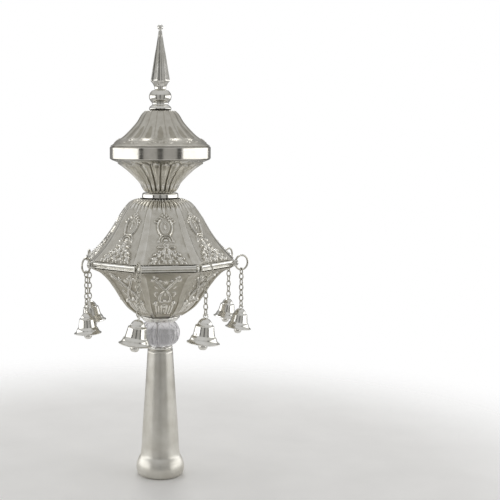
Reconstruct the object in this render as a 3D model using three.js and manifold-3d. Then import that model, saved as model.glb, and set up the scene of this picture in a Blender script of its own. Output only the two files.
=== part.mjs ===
// Torah finial (rimon): a silver spire, a fluted crown, an eight-panel body hung with bells,
// a cut crystal ball and a hollow handle that slips over a scroll's wooden roller.
// Millimetres, +Z up, origin at the middle of the underside of the handle's foot.
import * as THREE from "three";
import { mergeVertices } from "three/addons/utils/BufferGeometryUtils.js";
import Module from "manifold-3d";

// Driving dimensions
const GAP = 0.3; // clearance between pieces that touch
const SIDES = 8; // panels round the body, and stations for the bells
const SECTOR = (2 * Math.PI) / SIDES;
const ROUND = 20; // facets round a plain turned piece

const HEIGHT = 380;
const HANDLE_TOP = 109.1;
const HANDLE_WALL = 1.2;
const SOCKET_TOP = 100; // where the roller's peg stops inside the handle
const HANDLE_COLLAR = [109.4, 112.6];
const CRYSTAL = [112.9, 133.8];
const CRYSTAL_RADIUS = 16.8;
const CRYSTAL_LOBES = 12;
const LOWER_COLLAR = [134.1, 139];
const BOWL = [139.3, 181.9];
const RAIL = [182.2, 188];
const RAIL_CORNER = 64.5; // from the axis to a corner of the octagonal rail
const DOME = [188.3, 236.9];
const NECK_COLLAR = [237.2, 241.9];
const CROWN_BOWL = [242.2, 269.4];
const CROWN_BAND = [269.7, 280.5];
const CROWN_BAND_RADIUS = 42;
const CROWN_BAND_WALL = 2;
const BAND_CHAMFER = 0.8;
const BAND_FACETS = 32;
const CROWN_ROOF = [280.8, 309.8];
const SPIRE_BALL = [310.1, 327];
const SPIRE_FOOT = 327.3;
const SHEET = 0.9; // thickness of the raised silver sheet

const RIB_HALF = THREE.MathUtils.degToRad(3.9); // half the plain band along each corner of the body

const RING_RADIUS = 6; // to the middle of the wire
const RING_WIRE = 0.75; // radius of the wire
const RING_STEPS = 10;
const WIRE_SIDES = 4;
const RING_HOOK = 64.6; // from the axis to the wire where a lug holds it
const HUNG = [0, 1, 2, 5, 6, 7]; // the corners that carry a ring, chain and bell
const RING_SWING = [28, 45, 28, 0, 0, -78, 31, 32]; // degrees that the ring at a corner has turned in its lug
const LUG = { from: 61.4, to: 67.2, width: 4.2, height: 5.4, sides: 6 };

const LINKS = 7;
const LINK_WIRE = 0.5; // radius of the wire
const LINK_LENGTH = 6.4; // outside
const LINK_WIDTH = 4.4; // outside
const LINK_PITCH = LINK_LENGTH - 4 * LINK_WIRE + 0.1; // soldered, each link just into the next

const BELL_HEIGHT = 18.6;
const BELL_LOOP = 1.8; // radius of the loop on its top, to the middle of the wire
const BELL_TILT = [5, 8, 8, 0, 0, -8, -3, 8]; // degrees that the bell at each corner leans towards -X
const BELL_SIZE = [1.12, 0.92, 0.92, 1, 1, 1, 0.95, 1.12]; // the bells are made by hand, and differ
const BELL_FACETS = 10;
const CLAPPER_FACETS = 6;

const silver = (roughness) =>
  new THREE.MeshStandardMaterial({ color: "#b4b2a8", metalness: 1, roughness });
const polished = silver(0.16);
const chased = silver(0.34);
const satin = silver(0.42);
const crystal = new THREE.MeshStandardMaterial({ color: "#dcdae8", metalness: 0, roughness: 0.05 });

const wasm = await Module();
wasm.setup();

// A closed solid for joining and cutting, from a geometry and where it stands.
function solid(geometry, matrix = new THREE.Matrix4()) {
  const bare = new THREE.BufferGeometry();
  bare.setAttribute("position", geometry.getAttribute("position").clone());
  bare.setIndex(geometry.getIndex());
  const merged = mergeVertices(bare.applyMatrix4(matrix), 1e-4);
  const vertProperties = merged.getAttribute("position").array;
  const triVerts = new Uint32Array(merged.getIndex().array);
  return new wasm.Manifold(new wasm.Mesh({ numProp: 3, vertProperties, triVerts }));
}

function geometryOf(manifold) {
  const { vertProperties, triVerts } = manifold.getMesh();
  const geometry = new THREE.BufferGeometry();
  geometry.setAttribute("position", new THREE.BufferAttribute(vertProperties, 3));
  geometry.setIndex(new THREE.BufferAttribute(triVerts, 1));
  geometry.computeVertexNormals();
  return geometry;
}

// Turns a profile of [radius, height] pairs round the Z axis. The profile runs up the outside.
function turned(profile, facets = ROUND) {
  const points = profile.map(([radius, height]) => new THREE.Vector2(radius, height));
  return new THREE.LatheGeometry(points, facets).rotateX(Math.PI / 2);
}

// The same, but each sector round the axis has its corners at the angles and radii that section gives:
// pairs of [share of the sector, factor on the radius]. amount(height, radius) fades the factors.
function sectored(profile, sectors, section, amount = () => 1) {
  const geometry = turned(profile, sectors * section.length);
  const position = geometry.getAttribute("position");
  const rows = profile.length;
  for (let i = 0; i < position.count; i += 1) {
    const step = Math.floor(i / rows) % (sectors * section.length);
    const [share, factor] = section[step % section.length];
    const angle = ((Math.floor(step / section.length) + share) * 2 * Math.PI) / sectors;
    const radius = Math.hypot(position.getX(i), position.getY(i));
    const height = position.getZ(i);
    const reach = radius * (1 + (factor - 1) * amount(height, radius));
    position.setXYZ(i, reach * Math.cos(angle), reach * Math.sin(angle), height);
  }
  return geometry;
}

// A closed shell: up the outside, then down the inside, one wall thickness in.
function shell(outside, inside) {
  const loop = [...outside, ...[...inside].reverse()];
  return [...loop, loop[0]];
}

// Body: octagonal shells whose corners are narrow plain bands

const BAND_SHARE = RIB_HALF / SECTOR;
const BODY_SECTION = [
  [0.5 - BAND_SHARE, 1],
  [0.5 + BAND_SHARE, 1],
];

const bodyDome = () => {
  const [low, high] = DOME;
  const outside = [
    [62.4, low],
    [59.6, 190.8],
    [54.6, 195.5],
    [50.2, 200.5],
    [44.6, 207.8],
    [39.4, 216],
    [34.8, 224],
    [29.4, 231],
    [25, 234.8],
    [21.8, 236],
    [18, high],
    [11, high],
  ];
  const inside = [
    [61, low],
    [53.4, 195],
    [43.2, 208],
    [33.4, 224],
    [24, 233.6],
    [18, 235.6],
    [11, high - SHEET],
  ];
  return sectored(shell(outside, inside), SIDES, BODY_SECTION);
};

const bodyBowl = () => {
  const [low, high] = BOWL;
  const outside = [
    [9, low],
    [19.2, low],
    [23.9, 142.3],
    [30.2, 147.4],
    [36.2, 155.2],
    [42.8, 165.3],
    [48.8, 172.9],
    [54.4, 178],
    [59.6, 180.6],
    [62.4, high],
  ];
  const inside = [
    [9, low + SHEET],
    [18.6, low + SHEET],
    [29.2, 148],
    [41.6, 165.8],
    [52, 177.4],
    [59.6, high],
  ];
  return sectored(shell(outside, inside), SIDES, BODY_SECTION);
};

// The eight lugs stand on the rail's corners, and each holds the inner side of one hanging ring.
const station = (index) => (index + 0.5) * SECTOR - Math.PI / 2;
const swing = (index) => station(index) + THREE.MathUtils.degToRad(RING_SWING[index]);
const RAIL_MIDDLE = (RAIL[0] + RAIL[1]) / 2;

// A closed tube round a circle, as a lathe of its own small section, standing upright.
const ringGeometry = (wire) => {
  const section = [];
  for (let i = 0; i <= WIRE_SIDES; i += 1) {
    const angle = ((i + 0.5) * 2 * Math.PI) / WIRE_SIDES;
    section.push([RING_RADIUS + wire * Math.cos(angle), wire * Math.sin(angle)]);
  }
  return turned(section, RING_STEPS).rotateX(Math.PI / 2);
};

function ringMatrix(index) {
  const matrix = new THREE.Matrix4().makeRotationZ(swing(index));
  return matrix.setPosition(...ringCentre(index));
}

function ringCentre(index) {
  const hook = station(index);
  const turn = swing(index);
  return [
    RING_HOOK * Math.cos(hook) + RING_RADIUS * Math.cos(turn),
    RING_HOOK * Math.sin(hook) + RING_RADIUS * Math.sin(turn),
    RAIL_MIDDLE,
  ];
}

const bodyRail = () => {
  const [low, high] = RAIL;
  const profile = [
    [60, low],
    [63.2, low],
    [62.3, low + 2.3],
    [63.9, low + 2.8],
    [RAIL_CORNER, low + 4.2],
    [63.6, high],
    [60, high],
    [60, low],
  ];
  let rail = solid(sectored(profile, SIDES, [[0.5, 1]]));
  for (let i = 0; i < SIDES; i += 1) {
    const turn = new THREE.Matrix4().makeRotationZ(station(i));
    const lug = new THREE.CylinderGeometry(LUG.width / 2, LUG.width / 2, LUG.height, LUG.sides);
    lug.rotateX(Math.PI / 2).scale((LUG.to - LUG.from) / LUG.width, 1, 1);
    lug.translate((LUG.from + LUG.to) / 2, 0, RAIL_MIDDLE);
    rail = rail.add(solid(lug, turn));
    rail = rail.subtract(solid(ringGeometry(RING_WIRE + GAP), ringMatrix(i)));
  }
  const bodies = rail.decompose().sort((a, b) => b.volume() - a.volume());
  return geometryOf(bodies[0]);
};

// Crown: a fluted bowl and roof, with a plain band between them

const CROWN_TURN = THREE.MathUtils.degToRad(-5.5); // the crown is screwed on a little past the body's faces
const ROOF_FLUTES = 18;
const ROOF_SECTION = [
  [-0.5, 1],
  [0, 0.95],
];

const crownRoof = () => {
  const [low, high] = CROWN_ROOF;
  const outside = [
    [41.6, low],
    [38.6, 283.2],
    [36.8, 285.4],
    [32.6, 288.4],
    [25.8, 294],
    [19.8, 300.4],
    [14.6, 308],
    [12.6, high],
    [5, high],
  ];
  const inside = [
    [38.8, low],
    [24, 292.6],
    [5, high - SHEET],
  ];
  const fade = (height, radius) => (height < low + 1 || radius < 6 ? 0 : 1);
  return sectored(shell(outside, inside), ROOF_FLUTES, ROOF_SECTION, fade).rotateZ(CROWN_TURN);
};

const crownBand = () => {
  const [low, high] = CROWN_BAND;
  const inner = CROWN_BAND_RADIUS - CROWN_BAND_WALL;
  const outside = [
    [CROWN_BAND_RADIUS - BAND_CHAMFER, low],
    [CROWN_BAND_RADIUS, low + BAND_CHAMFER],
    [CROWN_BAND_RADIUS, high - BAND_CHAMFER],
    [CROWN_BAND_RADIUS - BAND_CHAMFER, high],
  ];
  const inside = [
    [inner, low],
    [inner, high],
  ];
  return turned(shell(outside, inside), BAND_FACETS);
};

const GADROON_SECTION = [
  [-0.5, 0.93],
  [0, 1.01],
];
const GADROONS = 3 * SIDES;

const crownBowl = () => {
  const [low, high] = CROWN_BOWL;
  const outside = [
    [4, low],
    [10.8, low],
    [11, 243.6],
    [12, 244.4],
    [15.8, 250.6],
    [22.8, 258.2],
    [30.8, 264.8],
    [37.2, 268],
    [40.8, high],
  ];
  const inside = [
    [4, low + SHEET],
    [9.4, low + SHEET],
    [14, 250.8],
    [21.6, 259.4],
    [29, 264.8],
    [38.4, high],
  ];
  const fade = (height, radius) => (height > high - 1 || radius < 6 ? 0 : 1);
  return sectored(shell(outside, inside), GADROONS, GADROON_SECTION, fade).rotateZ(CROWN_TURN);
};

// Turned pieces on the axis

const neckCollar = () => {
  const [low, high] = NECK_COLLAR;
  const profile = [
    [0, low],
    [14.7, low],
    [15.3, low + 0.8],
    [15.1, high - 0.8],
    [14.4, high],
    [0, high],
  ];
  return turned(profile);
};

const lowerCollar = () => {
  const [low, high] = LOWER_COLLAR;
  const profile = [
    [0, low],
    [14.2, low],
    [15.4, low + 1.6],
    [16.5, low + 2.6],
    [16.7, low + 3.9],
    [16, high],
    [0, high],
  ];
  return turned(profile);
};

const handleCollar = () => {
  const [low, high] = HANDLE_COLLAR;
  const profile = [
    [0, low],
    [9.7, low],
    [10.4, low + 1],
    [10.4, high - 1],
    [9.7, high],
    [0, high],
  ];
  return turned(profile);
};

// Twelve swelling lobes between deep cuts.
const CRYSTAL_SECTION = [
  [-0.5, 0.93],
  [0, 1],
];
const CRYSTAL_LEAN = [-64, 56]; // degrees from the waist down to the foot and up to the top
const CRYSTAL_SQUARENESS = 0.62; // under 1 the side stands fuller than a sphere's
const CRYSTAL_STEPS = 6;

const crystalBall = () => {
  const [low, high] = CRYSTAL;
  const middle = (low + high) / 2;
  const half = (high - low) / 2;
  const [first, last] = CRYSTAL_LEAN.map(THREE.MathUtils.degToRad);
  const profile = [[0, low]];
  for (let i = 0; i <= CRYSTAL_STEPS; i += 1) {
    const lean = first + ((last - first) * i) / CRYSTAL_STEPS;
    const level = Math.sin(lean) / Math.sin(-first);
    profile.push([CRYSTAL_RADIUS * Math.cos(lean) ** CRYSTAL_SQUARENESS, middle + half * level]);
  }
  profile[profile.length - 1][1] = high;
  profile.push([0, high]);
  return sectored(profile, CRYSTAL_LOBES, CRYSTAL_SECTION);
};

// A tapering tube with a rolled foot. Its bore is the socket, open below.
const handle = () => {
  const outside = [
    [15.2, 0],
    [17.2, 0],
    [19.2, 1.4],
    [20.4, 5],
    [20.3, 9.4],
    [18.8, 14],
    [16.9, 17.6],
    [16, 28],
    [13.2, 70],
    [10.7, HANDLE_TOP],
    [0, HANDLE_TOP],
  ];
  const inside = [
    [15.2, 18],
    [13.2 - HANDLE_WALL, 70],
    [11.2 - HANDLE_WALL, SOCKET_TOP],
    [0, SOCKET_TOP],
  ];
  return turned([...outside, ...inside.reverse(), outside[0]]);
};

const BALL = { middle: 321.4, radius: 9.3, halfHeight: 7.4, squareness: 1.1, lean: 38 };

const spireBall = () => {
  const [low, high] = SPIRE_BALL;
  const profile = [
    [0, low],
    [8.8, low],
    [9.4, low + 1.6],
    [8.6, low + 3.2],
    [6.6, low + 4.6],
  ];
  for (let lean = -BALL.lean; lean <= BALL.lean; lean += BALL.lean / 2) {
    const angle = THREE.MathUtils.degToRad(lean);
    const radius = BALL.radius * Math.cos(angle) ** BALL.squareness;
    profile.push([radius, BALL.middle + BALL.halfHeight * Math.sin(angle)]);
  }
  profile.push([4.9, high], [0, high]);
  return turned(profile);
};

const SPIRE_SECTION = [
  [-0.5, 1.02],
  [0, 0.92],
];

const spire = () => {
  const profile = [
    [0, SPIRE_FOOT],
    [4.7, SPIRE_FOOT],
    [5, 329.6],
    [6.4, 332],
    [8.2, 334.4],
    [4.9, 354],
    [1.9, 371.4],
    [1.2, 375.8],
    [2.4, 377.4],
    [2.2, 379],
    [1, HEIGHT],
    [0, HEIGHT],
  ];
  const fade = (height) => (height < 330 || height > 372 ? 0 : 1);
  return sectored(profile, SIDES, SPIRE_SECTION, fade);
};

// What hangs at each corner: ring, chain, bell and clapper

const LINK_SHOULDER = 0.45; // share of a link's half length that runs straight
const BLANK_RADIUS = 10; // of the plain ring that a link is bent from

// A link is a flat hexagon of wire, longer than it is wide.
function linkGeometry() {
  const halfLength = LINK_LENGTH / 2 - LINK_WIRE;
  const halfWidth = LINK_WIDTH / 2 - LINK_WIRE;
  const straight = halfLength * LINK_SHOULDER;
  const middle = [
    [0, halfLength],
    [-halfWidth, straight],
    [-halfWidth, -straight],
    [0, -halfLength],
    [halfWidth, -straight],
    [halfWidth, straight],
  ];
  const sides = 3;
  const profile = [];
  for (let i = 0; i <= sides; i += 1) {
    const angle = Math.PI + (i * 2 * Math.PI) / sides; // one corner of the wire faces inwards
    profile.push([BLANK_RADIUS + LINK_WIRE * Math.cos(angle), LINK_WIRE * Math.sin(angle)]);
  }
  const geometry = turned(profile, middle.length);
  const position = geometry.getAttribute("position");
  for (let i = 0; i < position.count; i += 1) {
    const [x, z] = middle[Math.floor(i / (sides + 1)) % middle.length];
    const out = Math.hypot(position.getX(i), position.getY(i)) - BLANK_RADIUS;
    const direction = new THREE.Vector2(x, z).normalize();
    position.setXYZ(i, x + out * direction.x, -position.getZ(i), z + out * direction.y);
  }
  return geometry;
}

const CHAIN_TOP = RAIL_MIDDLE - RING_RADIUS + RING_WIRE + LINK_WIRE * 2 + GAP;

function chainGeometry() {
  let chain = null;
  for (let i = 0; i < LINKS; i += 1) {
    const matrix = new THREE.Matrix4().makeRotationZ(i % 2 === 0 ? Math.PI / 2 : 0);
    matrix.setPosition(0, 0, CHAIN_TOP - LINK_LENGTH / 2 - i * LINK_PITCH);
    const link = solid(linkGeometry(), matrix);
    chain = chain === null ? link : chain.add(link);
  }
  return geometryOf(chain);
}

const CHAIN_BOTTOM = CHAIN_TOP - LINK_LENGTH - (LINKS - 1) * LINK_PITCH;
const LOOP_HOLE_TOP = CHAIN_BOTTOM + 2 * LINK_WIRE + 2 * GAP;
const LIP = LOOP_HOLE_TOP - 2 * (BELL_LOOP - LINK_WIRE) - BELL_HEIGHT;
const LOOP_MIDDLE = LIP + BELL_HEIGHT + BELL_LOOP - LINK_WIRE * 2;

const bellGeometry = () => {
  const outside = [
    [11.8, 0.4],
    [10, 1.7],
    [8.8, 4.4],
    [7.9, 5.4],
    [6.6, 12.6],
    [5.4, 13.4],
    [2.8, 17],
    [0, BELL_HEIGHT - 0.4],
  ];
  const inside = [
    [11.2, 0],
    [8, 3.2],
    [5.8, 11.8],
    [0, 15.4],
  ];
  const cup = solid(turned([...outside, ...inside.reverse(), outside[0]], BELL_FACETS));
  const loop = new THREE.TorusGeometry(BELL_LOOP, LINK_WIRE, 3, 6).rotateZ(Math.PI / 6);
  loop.rotateX(Math.PI / 2).translate(0, 0, LOOP_MIDDLE - LIP);
  return geometryOf(cup.add(solid(loop)));
};

const clapperGeometry = () => {
  const profile = [
    [0, -5],
    [3.2, -3.4],
    [3.2, -0.6],
    [0.6, 1.4],
    [0.6, 13],
    [0, 13],
  ];
  return turned(profile, CLAPPER_FACETS);
};

// The scene graph

const finial = new THREE.Group();

function place(name, geometry, material, parent = finial) {
  const mesh = new THREE.Mesh(geometry, material);
  mesh.name = name;
  parent.add(mesh);
  return mesh;
}

place("handle", handle(), satin);
place("handle_collar", handleCollar(), polished);
place("crystal_ball", crystalBall(), crystal);
place("lower_collar", lowerCollar(), polished);
place("body_bowl", bodyBowl(), chased);
place("body_rail", bodyRail(), polished);
place("body_dome", bodyDome(), chased);
place("neck_collar", neckCollar(), polished);
place("crown_bowl", crownBowl(), chased);
place("crown_band", crownBand(), satin);
place("crown_roof", crownRoof(), polished);
place("spire_ball", spireBall(), polished);
place("spire", spire(), polished);

HUNG.forEach((i, order) => {
  const number = order + 1;
  const [x, y, z] = ringCentre(i);

  const ring = place(`hanging_ring_${number}`, ringGeometry(RING_WIRE), polished);
  ring.position.set(x, y, z);
  ring.rotation.z = swing(i);

  const pendant = new THREE.Group();
  pendant.position.set(x, y, 0);
  pendant.rotation.z = swing(i);
  finial.add(pendant);

  place(`chain_${number}`, chainGeometry(), polished, pendant);

  const hanging = new THREE.Group();
  hanging.position.set(x, y, LOOP_MIDDLE);
  hanging.rotation.y = THREE.MathUtils.degToRad(BELL_TILT[i]);
  hanging.scale.setScalar(BELL_SIZE[i]);
  finial.add(hanging);
  const bell = place(`bell_${number}`, bellGeometry(), polished, hanging);
  const clapper = place(`clapper_${number}`, clapperGeometry(), polished, hanging);
  for (const piece of [bell, clapper]) {
    piece.position.z = LIP - LOOP_MIDDLE;
    piece.rotation.z = swing(i);
  }
});

export default finial;
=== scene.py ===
import math

import bmesh
import bpy
import numpy as np
from mathutils import Matrix, Vector


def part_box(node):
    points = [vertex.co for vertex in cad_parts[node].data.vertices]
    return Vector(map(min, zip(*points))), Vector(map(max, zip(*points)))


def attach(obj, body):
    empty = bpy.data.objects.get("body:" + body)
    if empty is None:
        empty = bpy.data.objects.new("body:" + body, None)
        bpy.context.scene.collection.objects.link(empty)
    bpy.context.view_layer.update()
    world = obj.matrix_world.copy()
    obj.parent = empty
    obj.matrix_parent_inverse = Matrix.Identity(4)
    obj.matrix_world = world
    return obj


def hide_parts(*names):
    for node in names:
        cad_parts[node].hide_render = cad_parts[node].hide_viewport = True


# Torah finial in chased silver: spire, fluted crown, octagonal body hung with bells, crystal ball, handle.
# Profiles are in millimetres, as [radius, height above the piece's own foot]; the scene is in metres.

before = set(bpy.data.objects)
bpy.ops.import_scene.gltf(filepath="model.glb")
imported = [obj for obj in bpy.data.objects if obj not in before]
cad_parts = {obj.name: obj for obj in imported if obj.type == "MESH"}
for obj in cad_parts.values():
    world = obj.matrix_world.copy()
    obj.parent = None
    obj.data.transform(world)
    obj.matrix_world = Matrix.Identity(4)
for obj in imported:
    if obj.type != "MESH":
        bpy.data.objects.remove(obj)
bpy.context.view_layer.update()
MM = 0.001

SIDES = 8
SECTOR = 360 / SIDES
BAND_HALF = 3.9  # degrees, half the plain band along each corner of the body
FACE_HALF = SECTOR / 2 - BAND_HALF
SHEET = 0.9  # thickness of the raised silver


def foot(node):
    """Height of the node's lowest point, in millimetres."""
    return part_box(node)[0].z / MM


def middle(node):
    """The middle of the node's box, in millimetres."""
    low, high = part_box(node)
    return (low + high) / (2 * MM)


# Camera and light

CAMERA_TURN = -6  # degrees round the finial, from straight in front of one panel
CAMERA_REACH = 0.871
CAMERA_HEIGHT = 0.292
CAMERA_SHIFT = 0.1795  # share of the frame's width between the axis and its middle
CAMERA_DIP = 6.44


def make_camera():
    data = bpy.data.cameras.new("camera")
    data.lens = 75
    data.sensor_width = 36
    data.shift_x = CAMERA_SHIFT
    camera = bpy.data.objects.new("camera", data)
    turn = math.radians(CAMERA_TURN)
    camera.location = (math.sin(turn) * CAMERA_REACH, -math.cos(turn) * CAMERA_REACH, CAMERA_HEIGHT)
    camera.rotation_euler = (math.radians(90 - CAMERA_DIP), 0, turn)
    bpy.context.collection.objects.link(camera)
    bpy.context.scene.camera = camera


def linear(code):
    """An sRGB hex colour as linear red, green, blue and alpha."""
    channels = [int(code[i:i + 2], 16) / 255 for i in (1, 3, 5)]
    return [c / 12.92 if c <= 0.04045 else ((c + 0.055) / 1.055) ** 2.4 for c in channels] + [1]


def add(tree, kind, inputs=None, **settings):
    """Adds a node. Its inputs are values, or outputs of other nodes to link."""
    node = tree.nodes.new("ShaderNode" + kind)
    for name, value in settings.items():
        setattr(node, name, value)
    for key, value in (inputs or {}).items():
        if isinstance(value, bpy.types.NodeSocket):
            tree.links.new(value, node.inputs[key])
        else:
            node.inputs[key].default_value = value
    return node


BACKDROP = "#ffffff"
# Brightness of the room at eye level, by degrees either way from the camera's side: the camera itself,
# the dim room behind it, the dark edges of the soft boxes, and the wall behind the finial.
ROOM = (
    (0, 0.1), (5, 0.1), (8, 0.42), (37, 0.4), (40, 0.06),
    (47, 0.06), (51, 0.4), (130, 0.4), (146, 0.24), (180, 0.24),
)
CEILING = 0.6
CEILING_FROM, CEILING_TO = 0.3, 0.62  # share of straight up where the wall turns into the ceiling


def make_room():
    """A dim room to light the metal, and a white backdrop for whatever the object doesn't cover."""
    world = bpy.data.worlds.new("studio")
    world.use_nodes = True
    tree = world.node_tree
    tree.nodes.clear()
    where = add(tree, "TexCoord").outputs["Generated"]
    inputs = {"Vector": where, "Angle": math.radians(-CAMERA_TURN)}
    turn = add(tree, "VectorRotate", inputs, rotation_type="Z_AXIS")
    axes = add(tree, "SeparateXYZ", {"Vector": turn.outputs[0]})
    toward = add(tree, "Math", {0: axes.outputs["Y"], 1: -1.0}, operation="MULTIPLY").outputs[0]
    angle = add(tree, "Math", {0: axes.outputs["X"], 1: toward}, operation="ARCTAN2").outputs[0]
    either = add(tree, "Math", {0: angle}, operation="ABSOLUTE").outputs[0]
    share = add(tree, "Math", {0: either, 1: math.pi}, operation="DIVIDE").outputs[0]
    walls = add(tree, "ValToRGB", {"Fac": share})
    stops = walls.color_ramp.elements
    while len(stops) < len(ROOM):
        stops.new(0.5)
    for stop, (degrees, level) in zip(stops, ROOM):
        stop.position = degrees / 180
        stop.color = (level, level * 0.99, level * 0.965, 1)
    span = {"Value": axes.outputs["Z"], "From Min": CEILING_FROM, "From Max": CEILING_TO}
    up = add(tree, "MapRange", span, interpolation_type="SMOOTHSTEP").outputs[0]
    lit = blend(tree, up, walls.outputs[0], [CEILING, CEILING, CEILING, 1])
    room = add(tree, "Background", {"Color": lit, "Strength": 1.0})
    backdrop = add(tree, "Background", {"Color": linear(BACKDROP), "Strength": 1.0})
    seen = add(tree, "LightPath").outputs["Is Camera Ray"]
    both = add(tree, "MixShader", {0: seen, 1: room.outputs[0], 2: backdrop.outputs[0]})
    add(tree, "OutputWorld", {"Surface": both.outputs[0]})
    bpy.context.scene.world = world


def softbox(name, turn, reach, width, low, high, radiance):
    """A large upright soft light, turned round the finial from the camera's side, in degrees and metres."""
    data = bpy.data.lights.new(name, "AREA")
    data.shape = "RECTANGLE"
    data.size = width
    data.size_y = high - low
    data.energy = radiance * math.pi * width * (high - low)
    lamp = bpy.data.objects.new(name, data)
    around = math.radians(CAMERA_TURN + turn)
    away = Vector((math.sin(around), -math.cos(around), 0))
    lamp.location = away * reach + Vector((0, 0, (low + high) / 2))
    lamp.rotation_euler = away.to_track_quat("Z", "Y").to_euler()
    lamp.visible_camera = False
    bpy.context.collection.objects.link(lamp)


OVERHEAD_SIZE = 0.5
OVERHEAD_PLACE = (0.1, 1.0, 1.2)
OVERHEAD_RADIANCE = 5


def overhead_light():
    """A small square lamp above and behind, for the sparkle on the chasing and a pale floor."""
    data = bpy.data.lights.new("overhead", "AREA")
    data.size = OVERHEAD_SIZE
    data.energy = OVERHEAD_RADIANCE * math.pi * OVERHEAD_SIZE**2
    lamp = bpy.data.objects.new("overhead", data)
    lamp.location = OVERHEAD_PLACE
    lamp.rotation_euler = Vector(OVERHEAD_PLACE).to_track_quat("Z", "Y").to_euler()
    lamp.visible_camera = False
    bpy.context.collection.objects.link(lamp)


def make_lights():
    softbox("softbox_left", -92, 1.1, 2.0, 0.0, 0.56, 1.3)
    softbox("softbox_right", 94, 1.1, 2.0, 0.0, 0.56, 1.3)
    overhead_light()


# Finishes


def finish(name):
    material = bpy.data.materials.new(name)
    material.use_nodes = True
    tree = material.node_tree
    shader = tree.nodes["Principled BSDF"]
    shader.inputs["Metallic"].default_value = 1
    return material, tree, shader


def spread(tree, value, low, high, start=0.3, end=0.7):
    """Spreads the middle of a noise's range from low to high."""
    inputs = {"Value": value, "From Min": start, "From Max": end, "To Min": low, "To Max": high}
    return add(tree, "MapRange", inputs).outputs[0]


def noise(tree, where, size, detail=3.0):
    """Noise whose patches are about size millimetres across."""
    return add(tree, "TexNoise", {"Vector": where, "Scale": 1 / (size * MM), "Detail": detail}).outputs[0]


def blend(tree, factor, first, second):
    colours = {0: factor, 6: first, 7: second}
    return add(tree, "Mix", colours, data_type="RGBA").outputs[2]


def polished_silver():
    # Sterling silver buffed to a shine: hard-edged reflections of the lights, a little warm grey tarnish.
    material, tree, shader = finish("polished_silver")
    where = add(tree, "TexCoord").outputs["Object"]
    tarnish = spread(tree, noise(tree, where, 9), 0, 1)
    tree.links.new(blend(tree, tarnish, linear("#f4f3ef"), linear("#e2e0d8")), shader.inputs["Base Color"])
    wear = spread(tree, noise(tree, where, 2.5), 0.09, 0.2)
    tree.links.new(wear, shader.inputs["Roughness"])
    scratches = noise(tree, where, 0.5, 2.0)
    bump = add(tree, "Bump", {"Height": scratches, "Strength": 0.12, "Distance": 0.00004})
    tree.links.new(bump.outputs[0], shader.inputs["Normal"])
    return material


def worn_wire():
    # Drawn silver wire that has toned grey where rings and links rub: softer, darker and a little uneven.
    material, tree, shader = finish("worn_wire")
    where = add(tree, "TexCoord").outputs["Object"]
    tone = spread(tree, noise(tree, where, 3), 0, 1)
    tree.links.new(blend(tree, tone, linear("#d6d3ca"), linear("#b5b2a6")), shader.inputs["Base Color"])
    tree.links.new(spread(tree, noise(tree, where, 1.2), 0.18, 0.34), shader.inputs["Roughness"])
    bump = add(tree, "Bump", {"Height": noise(tree, where, 0.4), "Strength": 0.2, "Distance": 0.00005})
    tree.links.new(bump.outputs[0], shader.inputs["Normal"])
    return material


def turned_silver():
    # Silver polished on the lathe: near-mirror reflections, drawn out a little by fine lines round the axis.
    material, tree, shader = finish("turned_silver")
    where = add(tree, "TexCoord").outputs["Object"]
    patches = spread(tree, noise(tree, where, 11), 0, 1)
    tree.links.new(blend(tree, patches, linear("#dfdcd5"), linear("#cdcac1")), shader.inputs["Base Color"])
    # The lathe's lines are finer than 0.1 mm; drawn every 0.6 mm so that they show.
    stretched = add(tree, "Mapping", {"Vector": where, "Scale": (20, 20, 1600)}).outputs[0]
    lines = add(tree, "TexNoise", {"Vector": stretched, "Scale": 1.0, "Detail": 2.0}).outputs[0]
    tree.links.new(spread(tree, lines, 0.1, 0.2), shader.inputs["Roughness"])
    bump = add(tree, "Bump", {"Height": lines, "Strength": 0.2, "Distance": 0.00005})
    tree.links.new(bump.outputs[0], shader.inputs["Normal"])
    return material


def chased_silver():
    # Silver sheet chased from both sides: polished high parts over a matted ground darkened by tarnish, with
    # painted shade in the hollows and grooves.
    material, tree, shader = finish("chased_silver")
    where = add(tree, "TexCoord").outputs["Object"]
    polish_and_shade = add(tree, "Attribute", attribute_name="polish_and_shade").outputs["Fac"]
    patches = spread(tree, noise(tree, where, 5), 0, 1)
    high = blend(tree, patches, linear("#f6f4ee"), linear("#e6e3da"))
    low = blend(tree, patches, linear("#a19b88"), linear("#877f6c"))
    # One attribute mixes the two colours: real polish and tarnish, and painted shade darkening the hollows
    # and grooves.
    tree.links.new(blend(tree, polish_and_shade, low, high), shader.inputs["Base Color"])
    sheen = spread(tree, polish_and_shade, 0.42, 0.17, 0, 1)
    tree.links.new(sheen, shader.inputs["Roughness"])
    # Punched matting is about 0.3 mm across; drawn at 0.7 mm so that it shows.
    matting = noise(tree, where, 0.7, 2.0)
    bump = add(tree, "Bump", {"Height": matting, "Strength": 0.3, "Distance": 0.00012})
    tree.links.new(bump.outputs[0], shader.inputs["Normal"])
    return material


def satin_silver():
    # Silver rubbed with a fine abrasive on the lathe: soft broad highlights and faint lines round the axis.
    material, tree, shader = finish("satin_silver")
    where = add(tree, "TexCoord").outputs["Object"]
    patches = spread(tree, noise(tree, where, 14), 0, 1)
    tree.links.new(blend(tree, patches, linear("#dfddd6"), linear("#ccc9c0")), shader.inputs["Base Color"])
    # The abrasive's lines are finer than 0.1 mm; drawn every 0.5 mm so that they show.
    stretched = add(tree, "Mapping", {"Vector": where, "Scale": (60, 60, 2000)}).outputs[0]
    lines = add(tree, "TexNoise", {"Vector": stretched, "Scale": 1.0, "Detail": 3.0}).outputs[0]
    tree.links.new(spread(tree, lines, 0.3, 0.44), shader.inputs["Roughness"])
    bump = add(tree, "Bump", {"Height": lines, "Strength": 0.25, "Distance": 0.00006})
    tree.links.new(bump.outputs[0], shader.inputs["Normal"])
    return material


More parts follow.
